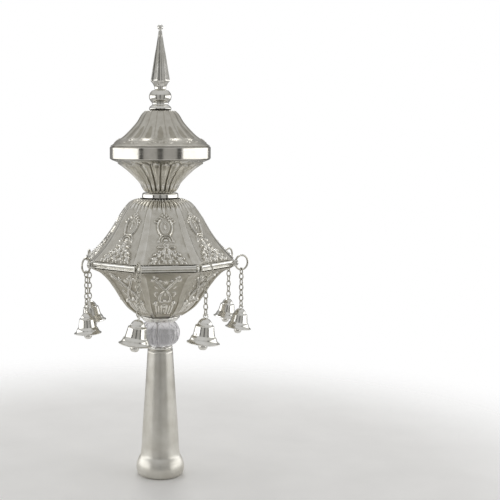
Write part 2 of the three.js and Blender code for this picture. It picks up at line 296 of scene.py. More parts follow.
def cut_crystal():
    # Lead crystal, cut and polished: clear, bright at the edges, with a cool violet cast.
    material, tree, shader = finish("cut_crystal")
    shader.inputs["Metallic"].default_value = 0
    shader.inputs["Transmission Weight"].default_value = 0.86
    shader.inputs["IOR"].default_value = 1.54
    shader.inputs["Base Color"].default_value = linear("#fdfcff")
    where = add(tree, "TexCoord").outputs["Object"]
    tree.links.new(spread(tree, noise(tree, where, 3), 0.02, 0.06), shader.inputs["Roughness"])
    bump = add(tree, "Bump", {"Height": noise(tree, where, 1.5), "Strength": 0.06, "Distance": 0.0001})
    tree.links.new(bump.outputs[0], shader.inputs["Normal"])
    return material


FLOOR_FADES = (0.22, 0.5)  # metres from the finial between which the board runs out into the white backdrop


def pale_board():
    # Matt white card, a little mottled, that runs out into the backdrop.
    material, tree, shader = finish("pale_board")
    shader.inputs["Metallic"].default_value = 0
    shader.inputs["Roughness"].default_value = 0.8
    where = add(tree, "TexCoord").outputs["Object"]
    patches = spread(tree, noise(tree, where, 60), 0, 1)
    tree.links.new(blend(tree, patches, linear("#f4f3f1"), linear("#efeeec")), shader.inputs["Base Color"])
    away = add(tree, "VectorMath", {0: where}, operation="LENGTH").outputs["Value"]
    near, far = FLOOR_FADES
    span = {"Value": away, "From Min": near, "From Max": far, "To Min": 1.0, "To Max": 0.0}
    solid = add(tree, "MapRange", span, interpolation_type="SMOOTHSTEP").outputs[0]
    tree.links.new(solid, shader.inputs["Alpha"])
    return material


# Making meshes


def smooth(points, step=0.6):
    """A smooth curve through a profile's points, with a point about every step millimetres."""
    p = np.array(points, float)
    chord = np.linalg.norm(np.diff(p, axis=0), axis=1)
    slope = np.diff(p, axis=0) / chord[:, None]
    shared = slope[:-1] * chord[1:, None] + slope[1:] * chord[:-1, None]
    inner = shared / (chord[:-1] + chord[1:])[:, None]
    tangent = np.vstack([slope[:1], inner, slope[-1:]]) if len(p) > 2 else np.vstack([slope, slope])
    curve = []
    for i, length in enumerate(chord):
        count = max(1, math.ceil(length / step))
        t = (np.arange(count) / count)[:, None]
        curve.append(
            (2 * t**3 - 3 * t**2 + 1) * p[i]
            + (t**3 - 2 * t**2 + t) * length * tangent[i]
            + (3 * t**2 - 2 * t**3) * p[i + 1]
            + (t**3 - t**2) * length * tangent[i + 1]
        )
    return np.vstack(curve + [p[-1:]])


def lengths(curve):
    """Distance along a curve to each of its points."""
    return np.concatenate([[0], np.cumsum(np.linalg.norm(np.diff(curve, axis=0), axis=1))])


def even(curve, count):
    """The same curve with count evenly spaced points."""
    along = lengths(curve)
    at = np.linspace(0, along[-1], count)
    return np.column_stack([np.interp(at, along, curve[:, axis]) for axis in (0, 1)])


def soft_step(value):
    t = np.clip(value, 0, 1)
    return t * t * (3 - 2 * t)


def arc(centre, radius, start, end, count=6):
    """Points on an arc, with angles in degrees."""
    angles = np.radians(np.linspace(start, end, count))
    return [[centre[0] + radius * math.cos(a), centre[1] + radius * math.sin(a)] for a in angles]


def weld(mesh):
    """Joins vertices that lie together and turns every face outwards."""
    work = bmesh.new()
    work.from_mesh(mesh)
    bmesh.ops.remove_doubles(work, verts=work.verts, dist=2e-6)
    bmesh.ops.recalc_face_normals(work, faces=work.faces)
    work.to_mesh(mesh)
    work.free()


def quads(rows, columns, wrap_rows, wrap_columns):
    """Faces of a grid of vertices, row by row."""
    index = np.arange(rows * columns).reshape(rows, columns)
    if wrap_rows:
        index = np.vstack([index, index[:1]])
    if wrap_columns:
        index = np.hstack([index, index[:, :1]])
    corners = [index[:-1, :-1], index[:-1, 1:], index[1:, 1:], index[1:, :-1]]
    return np.stack([corner.ravel() for corner in corners], axis=1)


def piece(name, grids, material, nodes, polish_and_shade=None, welded=False):
    """A piece of the finial, from grids in millimetres: points, and whether the rows and columns close up."""
    vertices, faces, offset = [], [], 0
    for points, wrap_rows, wrap_columns in grids:
        rows, columns = points.shape[:2]
        vertices.append(points.reshape(-1, 3) * MM)
        faces.append(quads(rows, columns, wrap_rows, wrap_columns) + offset)
        offset += rows * columns
    mesh = bpy.data.meshes.new(name)
    mesh.from_pydata(np.vstack(vertices).tolist(), [], np.vstack(faces).tolist())
    # The attribute carries polish and tarnish together with painted shade in hollows and grooves.
    if polish_and_shade is not None:
        attribute = mesh.attributes.new("polish_and_shade", "FLOAT", "POINT")
        attribute.data.foreach_set("value", polish_and_shade.ravel().astype(np.float32))
    if welded:
        weld(mesh)
    mesh.shade_smooth()
    mesh.materials.append(material)
    obj = bpy.data.objects.new(name, mesh)
    bpy.context.collection.objects.link(obj)
    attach(obj, "root")
    if nodes:
        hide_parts(*nodes)
    return obj


def spun(profile, angles, factor=1.0):
    """Points of a profile turned round the Z axis through the angles, in degrees. Rows follow the profile."""
    turn = np.radians(angles)[None, :]
    radius = profile[:, :1] * factor
    height = np.repeat(profile[:, 1:], len(angles), 1)
    return np.stack([radius * np.cos(turn), radius * np.sin(turn), height], 2)


def lifted(points, height):
    """Moves each point along the surface's outward normal by its height."""
    along = np.gradient(points, axis=0)
    around = np.roll(points, -1, axis=1) - np.roll(points, 1, axis=1)
    normal = np.cross(around, along)
    normal /= np.linalg.norm(normal, axis=2, keepdims=True)
    return points + normal * height[:, :, None]


def turned(name, profile, material, facets=128, factor=None):
    """A piece turned round the Z axis, from a profile that starts and ends on the axis."""
    angles = np.arange(facets) * 360 / facets
    curve = np.array(profile)
    shape = 1.0 if factor is None else factor(angles[None, :], curve[:, 1:])
    return piece(name, [(spun(curve, angles, shape), False, True)], material, [name], welded=True)


def eased(points, radius=0.25, step=0.5):
    """A profile whose inner corners are rounded and whose long sides carry extra points."""
    p = [np.array(q, float) for q in points]
    out = [p[0]]
    for before, corner, after in zip(p, p[1:], p[2:]):
        back = before - corner
        ahead = after - corner
        reach = min(radius, 0.45 * np.linalg.norm(back), 0.45 * np.linalg.norm(ahead))
        first = corner + back / np.linalg.norm(back) * reach
        last = corner + ahead / np.linalg.norm(ahead) * reach
        for t in np.linspace(0, 1, 5):
            out.append((1 - t) ** 2 * first + 2 * t * (1 - t) * corner + t**2 * last)
    out.append(p[-1])
    dense = [out[0]]
    for a, b in zip(out, out[1:]):
        count = max(1, math.ceil(np.linalg.norm(b - a) / step))
        dense += [a + (b - a) * (i + 1) / count for i in range(count)]
    return dense


# Chasing: heights drawn on a panel


class Chasing:
    """Heights raised on a panel's mirrored halves: x from its middle line, s along it, in millimetres."""

    def __init__(self, x, s):
        self.x = np.abs(x)
        self.s = s
        self.height = np.zeros_like(self.x)

    def raise_to(self, height):
        self.height = np.maximum(self.height, height)

    def bead(self, x, s, radius, lift):
        away = ((self.x - x) ** 2 + (self.s - s) ** 2) / radius**2
        self.raise_to(lift * np.sqrt(np.clip(1 - away, 0, 1)))

    def ridge(self, points, start, end, lift):
        """A round ridge along a line, with half-widths that go from start to end."""
        count = len(points) - 1
        for i in range(count):
            ax, ay = points[i]
            bx, by = points[i + 1]
            dx, dy = bx - ax, by - ay
            span = dx * dx + dy * dy + 1e-9
            t = np.clip(((self.x - ax) * dx + (self.s - ay) * dy) / span, 0, 1)
            away = np.hypot(self.x - ax - t * dx, self.s - ay - t * dy)
            half = start + (end - start) * (i + t) / count
            self.raise_to(lift * np.sqrt(np.clip(1 - (away / half) ** 2, 0, 1)))

    def scroll(self, x, s, radius, start, turn, width, lift):
        """A volute that winds in towards (x, s) from radius, through turn degrees, ending in a bead."""
        steps = max(6, int(abs(turn) / 25))
        t = np.linspace(0, 1, steps + 1)
        reach = radius * (1 - 0.72 * t)
        angle = np.radians(start + turn * t)
        points = list(zip(x + reach * np.cos(angle), s + reach * np.sin(angle)))
        self.ridge(points, width, width * 0.6, lift)
        self.bead(x, s, width * 1.5, lift * 1.05)

    def leaf(self, x, s, angle, length, width, lift):
        """A pointed leaf that grows from (x, s) at an angle from straight up, cupped along a sharp midrib."""
        turn = math.radians(angle)
        dx, ds = self.x - x, self.s - s
        t = (dx * math.sin(turn) + ds * math.cos(turn)) / length
        across = np.abs(dx * math.cos(turn) - ds * math.sin(turn))
        half = 0.5 * width * np.sqrt(np.clip(np.sin(np.pi * np.clip(t, 0, 1) ** 0.8), 0, 1))
        share = np.clip(1 - across / np.maximum(half, 1e-6), 0, 1)
        self.raise_to(lift * np.where(half > 1e-3, share**0.55, 0) * (0.7 + 0.3 * np.clip(t, 0, 1)))


def panel_angles(across):
    """Column angles round the octagon, and how many a sector has: across of them are on its face."""
    lateral = np.linspace(-1, 1, across)
    face = np.degrees(np.arctan(lateral * math.tan(math.radians(FACE_HALF))))
    band = np.array([-0.94, -0.88, -0.82, -0.76, -0.68, -0.3, 0.3, 0.68, 0.76, 0.82, 0.88, 0.94]) * BAND_HALF
    sector = np.concatenate([face, SECTOR / 2 + band])
    return np.concatenate([sector + SECTOR * i for i in range(SIDES)]), len(sector)


def octagon(angles):
    """Factor on the corner radius that gives eight faces and eight narrow bands."""
    from_face = (angles + SECTOR / 2) % SECTOR - SECTOR / 2
    from_corner = SECTOR / 2 - np.abs(from_face)
    face = math.cos(math.radians(FACE_HALF)) / np.cos(np.radians(from_face))
    band = math.cos(math.radians(BAND_HALF)) / np.cos(np.radians(from_corner))
    return np.where(np.abs(from_face) <= FACE_HALF + 1e-9, face, band)


FACE_COLUMNS = 64
FLUTE_PITCH = SECTOR / 6  # degrees


def chased_shell(name, profile, rows, draw, material, band_tone, flutes_from=None):
    """An eight-sided shell with the same chasing on every face and a pair of fine lines along each band."""
    outside = even(smooth(profile), rows)
    angles, per_sector = panel_angles(FACE_COLUMNS)
    base = spun(outside, angles, octagon(angles)[None, :])
    s = lengths(outside)[:, None] + np.zeros((1, per_sector))
    sector = angles[:per_sector]
    on_face = np.abs(sector) <= FACE_HALF + 1e-9
    apothem = outside[:, :1] * math.cos(math.radians(FACE_HALF))
    x = apothem * np.tan(np.radians(np.where(on_face, sector, 0)))[None, :]
    half = outside[:, :1] * math.sin(math.radians(FACE_HALF))
    height, polish_and_shade = draw(x, s, half)
    from_corner = np.radians(np.abs(SECTOR / 2 - np.abs(sector)))[None, :]
    band = outside[:, :1] * np.sin(from_corner)
    band_half = outside[:, :1] * math.sin(math.radians(BAND_HALF))
    inset = band_half - band
    lines = 0.42 * np.exp(-((inset - 0.5) / 0.26) ** 2) + 0.22 * np.exp(-((inset - 1.3) / 0.22) ** 2)
    plain = np.where(on_face[None, :], 0, lines)
    height = np.where(on_face[None, :], height, plain)
    polish_and_shade = np.where(on_face[None, :], polish_and_shade, band_tone + 0.6 * plain)
    if flutes_from is not None:
        turn = (sector / FLUTE_PITCH + 0.5) % 1 - 0.5
        reach = soft_step((s - flutes_from - 8 * np.abs(turn)[None, :]) / 4)
        from_groove = np.abs(turn) - 0.5
        hollow = 0.9 - 2.2 * np.exp(-((from_groove / 0.12) ** 2))[None, :]
        height = height * (1 - reach) + reach * hollow * 0.6
        # Painted shade darkens each flute's groove.
        tone = (1 - 0.85 * np.exp(-((from_groove / 0.14) ** 2)))[None, :]
        polish_and_shade = polish_and_shade * (1 - reach) + reach * tone
    outer = lifted(base, np.tile(height, (1, SIDES)))
    inner_profile = even(outside - SHEET * np.array([1, 0]) * 1.1, 9)[::-1]
    inner = spun(inner_profile, angles, octagon(angles)[None, :])
    colour = np.vstack([np.tile(polish_and_shade, (1, SIDES)), np.full((len(inner_profile), len(angles)), 0.3)])
    points = np.vstack([outer, inner])
    return piece(name, [(points, True, True)], material, [name], polish_and_shade=colour)


# The curled leaf tips of the dome's skirt: across, along, and degrees that each turns from straight up.
SKIRT = (
    (10.3, 10.8, 118), (6.2, 14.0, 96), (3.0, 11.8, 162), (10.0, 4.0, 150), (4.6, 5.4, 172), (13.8, 2.2, 132),
    (1.5, 2.2, 180), (6.2, 18.0, 96), (7.4, 8.6, 140), (12.8, 6.6, 118), (7.2, 2.0, 165), (0, 8.6, 180),
    (1.9, 15.6, 150), (11.0, 1.6, 160), (8.6, 12.0, 70),
)


def dome_chasing(x, s, half):
    """A dome's panel, from its lower edge up: curled leaves, boss, shell, oval, drops and husks."""
    art = Chasing(x, s)
    art.ridge([(0.8, 18.6), (4.6, 13.2), (9.2, 7.6), (14.6, 1.6)], 0.5, 0.7, 0.8)
    art.ridge([(0.6, 17.4), (2.0, 10.0), (3.4, 3.0)], 0.45, 0.6, 0.7)
    for across, along, angle in SKIRT:
        turn = math.radians(angle)
        start = (across - 3.6 * math.sin(turn), along - 3.6 * math.cos(turn))
        art.leaf(*start, angle, 4.4, 2.0, 1.3)
        art.bead(across, along, 1.0, 1.8)
    art.ridge(arc((0, 20.4), 2.0, -90, 90, 9), 0.45, 0.45, 0.9)
    art.bead(0, 20.4, 1.1, 1.2)
    for radius, lift in ((3.6, 0.9), (5.4, 0.8)):
        art.ridge(arc((0, 24), radius, -6, 90, 9), 0.55, 0.55, lift)
    for angle in (0, 30, 60):
        art.leaf(0, 23.6, angle, 3.4, 1.4, 0.7)
    art.scroll(6.4, 23.4, 1.2, 90, 380, 0.4, 0.7)
    oval = [(3.2, 29.2), (4.8, 31.6), (5.7, 34.8), (5.9, 38.0), (5.2, 41.0), (3.6, 43.2)]
    art.ridge(oval, 0.75, 0.6, 1.35)
    art.ridge([(1.6, 31.4), (3.2, 34.2), (3.6, 37.2), (2.6, 40.2), (0, 42.2)], 0.3, 0.3, 0.45)
    art.leaf(0, 34.6, 0, 4.6, 2.2, 1.0)
    art.bead(0, 40.4, 0.7, 0.8)
    for across, along, angle in ((5.2, 43.4, 62), (7.2, 42.0, 88), (3.4, 45.0, 34)):
        art.leaf(across - 2.4 * math.sin(math.radians(angle)), along - 1.4, angle, 3.4, 1.6, 1.0)
        art.bead(across + 0.6, along, 0.65, 1.1)
    for across, along in ((0, 46.0), (1.6, 47.4), (0, 49.4)):
        art.leaf(across, along + 1.4, 180, 3.0, 1.6, 1.1)
    for step in (56.0, 53.0, 50.6):
        art.leaf(0, step + 2.4, 180, 3.6, 1.8, 0.9)
    from_shell = np.hypot(x, s - 24)
    grooves = np.exp(-(((from_shell - 4.5) / 0.5) ** 2)) + np.exp(-(((from_shell - 2.5) / 0.5) ** 2))
    cut = grooves * soft_step((s - 23.5) / 1.0)
    ground = -0.3 * soft_step((half - np.abs(x)) / 0.9) * soft_step((s - 0.2) / 0.9) - 0.7 * cut
    detail = soft_step(art.height / 0.5)
    # Painted shade: the two grooves round the shell and the hollows below the chasing take the darker ground
    # colour.
    return ground + art.height, np.clip(0.62 + 0.38 * detail - 0.4 * shadow(art.height) - 0.7 * cut, 0, 1)


def shadow(height):
    """How far each point lies below the work around it, from 0 to 1."""
    blurred = height
    for _ in range(2):
        padded = np.pad(blurred, 2, mode="edge")
        total = sum(
            padded[i:i + height.shape[0], j:j + height.shape[1]] for i in range(5) for j in range(5)
        )
        blurred = total / 25
    return np.clip((blurred - height) / 0.3, 0, 1)


def bowl_chasing(x, s, half):
    """A bowl's sunk panel, from its lower edge up: reeds, boss, leaf tips, straps, curls and a flower."""
    art = Chasing(x, s)
    for i in range(3):
        art.ridge([(1.7 + 1.8 * i, 6.6), (2.4 + 2.3 * i, 19.0 - 0.6 * i)], 0.6, 0.8, 0.9)
    art.bead(0, 17.0, 1.9, 1.2)
    art.ridge(arc((0, 17.0), 2.9, -70, 90, 8), 0.4, 0.4, 0.7)
    art.leaf(0, 7.0, 0, 7.0, 2.0, 0.7)
    art.leaf(6.4, 18.0, 20, 5.0, 3.6, 1.4)
    art.bead(7.3, 22.0, 1.9, 2.2)
    art.bead(9.2, 20.9, 1.0, 1.5)
    down = [(9.4, 48.6), (6.4, 44.2), (3.2, 39.6), (0.0, 35.2)]
    loop = [(0.0, 35.2), (3.0, 31.6), (4.6, 28.2), (4.4, 24.8), (2.6, 22.6), (0.6, 23.6), (0.2, 25.8)]
    for offset in (-0.85, 0.85):
        art.ridge([(across + offset, along) for across, along in down], 0.55, 0.55, 1.7)
        art.ridge([(abs(across + 0.8 * offset), along) for across, along in loop], 0.5, 0.45, 1.5)
    art.scroll(9.8, 51.2, 2.1, 250, -380, 0.6, 1.6)
    art.scroll(4.4, 47.2, 1.9, 200, 380, 0.55, 1.5)
    for across, along, size in ((11.6, 48.4, 1.3), (10.6, 53.4, 1.2), (7.4, 50.4, 1.1), (4.4, 47.2, 1.0)):
        art.bead(across, along, size, 1.9)
    art.leaf(9.2, 44.6, 60, 4.4, 2.0, 1.0)
    art.leaf(6.2, 36.4, 40, 5.0, 1.8, 0.9)
    art.leaf(6.6, 27.6, 30, 5.6, 1.9, 0.9)
    art.scroll(7.6, 32.6, 1.4, 180, -380, 0.45, 0.9)
    for angle in (0, 50, 100, 150):
        art.leaf(0, 43.8, angle, 3.0, 1.8, 0.9)
    art.bead(0, 43.8, 0.9, 1.15)
    art.leaf(0, 48.4, 0, 4.6, 1.8, 0.7)
    art.leaf(0, 28.6, 0, 4.4, 1.6, 0.8)
    depth = 1.15
    left = (half - np.abs(x) - 0.25) / 0.7
    sunk = soft_step(left) * soft_step((s - 3.6) / 0.8) * soft_step((56.2 - s) / 0.8)
    ground = -depth * sunk
    detail = soft_step(art.height / 0.5) * sunk
    # The sunk ground is matted and tarnished, and is also kept darker than the dome's as painted shade for
    # the bowl's downward-facing sides; the hollows under the chasing are darkened as painted shade.
    polish_and_shade = 0.4 * (1 - sunk) + sunk * (0.1 + 0.9 * detail - 0.4 * shadow(art.height))
    # The slits along the panel's lower edges are cut in and darkened as painted shade.
    edge = np.exp(-((left - 0.4) / 0.8) ** 2)
    slit = edge * soft_step((26 - s) / 6)
    return ground + art.height * sunk - 0.7 * slit, np.clip(polish_and_shade - 0.9 * slit, 0, 1)


DOME_PROFILE = [
    [62.4, 0], [59.6, 2.5], [54.6, 7.2], [50.2, 12.2], [44.6, 19.5],
    [39.2, 27.7], [34.4, 35.7], [29.2, 42.5], [25, 46.2], [21.4, 47.6], [18, 48.4],
]
DOME_FLUTES_FROM = 49.5  # millimetres up the dome's curve to where the flutes under the neck begin
BOWL_PROFILE = [
    [19.2, 0], [23.9, 3], [30.2, 8.1], [36.2, 15.9], [42.8, 26],
    [48.8, 33.6], [54.4, 38.7], [59.6, 41.3], [62.4, 42.6],
]


def raised_by(profile, height):
    return [[radius, z + height] for radius, z in profile]


def make_body(chased, polished):
    dome = raised_by(DOME_PROFILE, foot("body_dome"))
    chased_shell("body_dome", dome, 154, dome_chasing, chased, 0.7, DOME_FLUTES_FROM)
    bowl = raised_by(BOWL_PROFILE, foot("body_bowl"))
    # The bowl's plain bands are given a darker tone than the dome's: painted shade for its downward-facing
    # sides.
    chased_shell("body_bowl", bowl, 140, bowl_chasing, chased, 0.4)
    make_rail(polished)


LUG_FROM, LUG_TO = 61.4, 67.0  # from the axis to a lug's inner and outer ends
CHEEK = 1.25  # thickness of each of a lug's two cheeks
CHEEK_GAP = 1.7  # room between the cheeks for the ring


def station(index):
    """Angle of a corner of the body, where a lug and its bell are, in degrees."""
    return (index + 0.5) * SECTOR - 90


def make_rail(material):
    low = foot("body_rail")
    fillet = [[60, 0], [62.4, 0], [62.9, 0.3], [62.9, 1.2], [61.6, 1.5], [61.6, 1.8]]
    half_round = arc((62.4, low + 3.8), 2.0, -76, 88, 15)
    profile = raised_by(fillet, low) + half_round + [[60, low + 5.8]]
    sector = np.concatenate([[-22.5, -22.2], np.linspace(-20, 20, 11), [22.2]])
    angles = np.concatenate([sector + SECTOR * i for i in range(SIDES)])
    from_face = (angles + SECTOR / 2) % SECTOR - SECTOR / 2
    corner = np.cos(np.radians(SECTOR / 2)) / np.cos(np.radians(from_face))
    ring = spun(np.array(profile), angles, corner[None, :])
    grids = [(ring, True, True)]
    for i in range(SIDES):
        grids += lug(station(i), low + 2.9)
    piece("body_rail", grids, material, ["body_rail"], welded=True)


def lug(angle, height):
    """Two rounded cheeks that clasp a ring, as closed pillows of metal."""
    grids = []
    turn = math.radians(angle)
    out = np.array([math.cos(turn), math.sin(turn), 0])
    side = np.array([-math.sin(turn), math.cos(turn), 0])
    up = np.array([0, 0, 1.0])
    around = np.radians(np.arange(20) * 18)
    for way in (-1, 1):
        rows = []
        for lean in np.radians(np.linspace(-90, 90, 9)):
            swell = math.cos(lean) ** 0.5
            offset = way * (CHEEK_GAP + CHEEK) / 2 + 0.5 * CHEEK * math.sin(lean)
            reach = 0.5 * (LUG_TO - LUG_FROM) * swell
            tall = 2.7 * swell
            centre = out * (LUG_FROM + LUG_TO) / 2 + side * offset + up * height
            squared = [np.sign(math.cos(a)) * abs(math.cos(a)) ** 0.7 for a in around]
            rows.append([centre + out * reach * c + up * tall * math.sin(a) for c, a in zip(squared, around)])
        grids.append((np.array(rows), False, True))
    return grids


# Crown

BAND_FACETS = 160
ROOF_FLUTES = 18
LEAVES = 24
CROWN_TURN = -5.5  # degrees that the crown is screwed past the body's faces


def fluted_shell(name, profile, rows, columns, draw, material):
    """A round shell whose outside carries the heights that draw gives for angle and distance along it."""
    outside = even(smooth(profile), rows)
    angles = np.arange(columns) * 360 / columns + CROWN_TURN
    s = lengths(outside)[:, None]
    height, polish_and_shade = draw(np.arange(columns) * 360 / columns + np.zeros_like(s), s, outside[:, :1])
    outer = lifted(spun(outside, angles), height)
    inner_profile = even(outside - np.array([SHEET * 1.3, 0]), 9)[::-1]
    points = np.vstack([outer, spun(inner_profile, angles)])
    colour = np.vstack([polish_and_shade, np.full((len(inner_profile), columns), 0.3)])
    piece(name, [(points, True, True)], material, [name], polish_and_shade=colour)


def roof_flutes(angle, s, radius):
    """Hollow flutes between sharp ridges, with a spray of small leaves where each meets the band."""
    pitch = 360 / ROOF_FLUTES
    share = (angle / pitch) % 1 - 0.5
    fade = soft_step((s - 4) / 16)
    depth = 0.04 * radius * fade
    hollow = -depth * (1 - (2 * share) ** 2)
    wide = 45.0
    across = radius * np.radians((angle + wide / 2) % wide - wide / 2)
    art = Chasing(across, s + 0 * angle)
    art.bead(0, 7.0, 0.9, 0.7)
    for turn in (0, 50, 100, 150):
        art.leaf(0, 7.0, turn, 2.8, 1.5, 0.6)
    for across, along, size in ((3.6, 4.6, 0.7), (5.8, 5.6, 0.6), (7.8, 4.0, 0.5), (9.8, 4.6, 0.45)):
        art.bead(across, along, size, 0.6)
    art.leaf(4.0, 4.0, 70, 3.6, 1.3, 0.5)
    art.leaf(7.4, 3.8, 74, 3.4, 1.1, 0.4)
    height = hollow + art.height
    # Painted shade: the hollows under the small leaves and a dark line along each flute's sharp ridge are
    # darkened.
    polish_and_shade = 0.58 - 0.4 * shadow(art.height) - 0.3 * np.exp(-((0.5 - np.abs(share)) / 0.05) ** 2) * fade
    return height, polish_and_shade


def leaf_flutes(angle, s, radius):
    """Tall leaves side by side, each edged by a fine ridge that closes in an arch at its top."""
    pitch = 360 / LEAVES
    share = (angle / pitch) % 1 - 0.5
    odd = np.floor(angle / pitch) % 2
    width = radius * math.radians(pitch)
    across = share * width
    top = 34.5 + 1.5 * odd
    half = 0.5 * width - 0.28
    arch = np.sqrt(np.clip(1 - (np.clip(s - top + half, 0, None) / half) ** 2, 0, 1))
    inside = half * arch
    away = inside - np.abs(across)
    body = 0.9 * np.sqrt(np.clip(away / half, 0, 1))
    edge = 0.8 * np.exp(-((away - 0.6) / 0.34) ** 2)
    groove = -0.8 * np.exp(-(away / 0.3) ** 2)
    rib = 0.25 * np.exp(-(across / (0.12 * width)) ** 2) * soft_step((top - s) / 8)
    fade = soft_step(s / 2.5) * soft_step((40.6 - s) / 1.5)
    height = fade * (1.5 * body + edge + groove + rib)
    # Painted shade darkens the groove round each leaf, and a painted highlight lightens its edge ridge.
    polish_and_shade = 0.95 + 0.1 * soft_step(edge / 0.4) + 0.9 * groove * fade
    return height, np.clip(polish_and_shade, 0, 1)


ROOF_PROFILE = [
    [41.6, 0], [39.2, 1.6], [35.8, 4.4], [30.9, 7.8],
    [25.2, 13.2], [19.6, 19.6], [14.6, 27.2], [12.6, 29],
]
CROWN_BOWL_PROFILE = [
    [10.8, 0], [11, 1.4], [12, 2.2], [15.8, 8.4],
    [22.8, 16], [30.8, 22.6], [37.2, 25.8], [40.8, 27.2],
]


def make_crown(chased, banded):
    roof = raised_by(ROOF_PROFILE, foot("crown_roof"))
    fluted_shell("crown_roof", roof, 90, ROOF_FLUTES * 28, roof_flutes, chased)
    bowl = raised_by(CROWN_BOWL_PROFILE, foot("crown_bowl"))
    fluted_shell("crown_bowl", bowl, 90, LEAVES * 28, leaf_flutes, chased)
    low, high = (corner.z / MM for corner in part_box("crown_band"))
    inside, edge, rim = 40, 41.2, 42
    outside = [[inside, low], [edge, low], [rim, low + 0.8], [rim, high - 0.8], [edge, high]]
    profile = eased(outside + [[inside, high], [inside, low], [inside + 0.4, low]], 0.5)
    angles = np.arange(BAND_FACETS) * 360 / BAND_FACETS
    band = spun(np.array(profile), angles)
    piece("crown_band", [(band, False, True)], banded, ["crown_band"], welded=True)


# Turned pieces


NECK_COLLAR_PROFILE = [[0, 0], [14.6, 0], [15.3, 0.9], [15.1, 3.7], [14.4, 4.7], [0, 4.7]]
LOWER_COLLAR_PROFILE = [[0, 0], [14.2, 0], [15.4, 1.6], [16.5, 2.6], [16.7, 3.9], [16, 4.9], [0, 4.9]]
HANDLE_COLLAR_PROFILE = [[0, 0], [9.7, 0], [10.4, 0.9], [10.4, 2.3], [9.7, 3.2], [0, 3.2]]
HANDLE_ROLL = [[17.2, 0], [19.2, 1.4], [20.4, 5], [20.3, 9.4], [18.8, 14], [16.9, 17.6]]
HANDLE_NECK = [[16.9, 17.6], [16.3, 22], [15.4, 38], [13.2, 70], [10.7, 109.1]]
HANDLE_BORE = [[0, 109.1], [0, 100], [10, 100], [12, 70], [15.2, 18], [15.2, 0]]
WASHER_PROFILE = [[0, 0], [8.8, 0], [9.4, 1.6], [8.6, 3.2], [6.6, 4.6]]


def make_turned(polished, satin):
    collar = raised_by(NECK_COLLAR_PROFILE, foot("neck_collar"))
    turned("neck_collar", eased(collar, 0.4), polished)

    ring = raised_by(LOWER_COLLAR_PROFILE, foot("lower_collar"))
    turned("lower_collar", eased(ring, 0.5), polished)

    disc = raised_by(HANDLE_COLLAR_PROFILE, foot("handle_collar"))
    turned("handle_collar", eased(disc, 0.4), polished)

    low = foot("handle")
    roll = smooth(raised_by(HANDLE_ROLL, low)).tolist()
    neck = smooth(raised_by(HANDLE_NECK, low), 2.5)[1:].tolist()
    bore = raised_by(HANDLE_BORE, low)
    turned("handle", bore[-1:] + roll + neck + bore, satin, 144)

    low = foot("spire_ball")
    washer = eased(raised_by(WASHER_PROFILE, low), 0.5)
    lean = np.radians(np.linspace(-40, 40, 17))
    ball = [[9.3 * math.cos(a) ** 1.1, low + 11.3 + 7.6 * math.sin(a)] for a in lean]
    turned("spire_ball", washer + ball + [[4.9, low + 16.9], [0, low + 16.9]], polished)


SPIRE_FLUTE = 0.17


def make_spire(polished):
    low = foot("spire")
    knop = smooth([[4.7, 0], [5, 2.3], [6.4, 4.7], [8.2, 7.1]], 0.4)
    shaft = smooth([[8.2, 7.1], [6.4, 17.4], [4.9, 26.7], [3.2, 36], [1.9, 44.1], [1.2, 48.5]], 0.8)
    tip = smooth([[1.2, 48.5], [2.4, 50.1], [2.2, 51.7], [1, 52.7]], 0.3)
    profile = np.vstack([[[0, 0]], knop, shaft[1:], tip[1:], [[0, 52.7]]])

    def flutes(angles, height):
        share = ((angles - SECTOR / 2) / SECTOR) % 1 - 0.5
        fade = soft_step((height - low - 3) / 4) * soft_step((low + 46 - height) / 4)
        return 1 + fade * (0.02 - SPIRE_FLUTE * (1 - (2 * share) ** 2))

    turned("spire", raised_by(profile, low), polished, 160, flutes)


def make_crystal(crystal):
    low, high = (corner.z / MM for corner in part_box("crystal_ball"))
    centre, half = (low + high) / 2, (high - low) / 2
    lean = np.radians(np.linspace(-64, 60, 33))
    reach = math.sin(math.radians(64))
    side = [[16.8 * math.cos(a) ** 0.62, centre + half * math.sin(a) / reach] for a in lean]
    side[-1][1] = high

    def lobes(angles, height):
        share = (angles / 30) % 1 - 0.5
        fade = soft_step((half - np.abs(height - centre)) / 3)
        return 1 - 0.1 * fade * np.abs(2 * share) ** 3

    turned("crystal_ball", [[0, low]] + side + [[0, high]], crystal, 12 * 16, lobes)


# Rings, chains, bells and clappers

HUNG = [0, 1, 2, 5, 6, 7]  # the corners that carry a ring, chain and bell
RING_RADIUS = 6.0
RING_WIRE = 0.75
RING_HOOK = 64.6  # from the axis to the wire where a lug holds it
LINKS = 7
LINK_WIRE = 0.5
LINK_LENGTH = 6.4  # outside
LINK_WIDTH = 4.4  # outside
LINK_PITCH = LINK_LENGTH - 4 * LINK_WIRE + 0.1  # soldered, each link just into the next
BELL_TILT = [5, 8, 8, 0, 0, -8, -3, 8]  # degrees that the bell at each corner leans towards -X
BELL_SIZE = [1.12, 0.92, 0.92, 1, 1, 1, 0.95, 1.12]  # the bells are made by hand, and differ
BELL_HEIGHT = 18.6
BELL_LOOP = 1.8


def loop_of_wire(centre, across, up, half_width, half_length, wire, steps=28, sides=10):
    """A closed loop of wire in the plane of two directions, longer along up where half_length is larger."""
    normal = np.cross(across, up)
    rows = []
    for a in np.arange(steps) * 2 * math.pi / steps:
        out = across * math.cos(a) + up * math.sin(a)
        point = centre + across * half_width * math.cos(a) + up * half_length * math.sin(a)
        turns = np.arange(sides) * 2 * math.pi / sides
        rows.append([point + wire * (out * math.cos(t) + normal * math.sin(t)) for t in turns])
    return (np.array(rows), True, True)


UP = np.array([0.0, 0.0, 1.0])


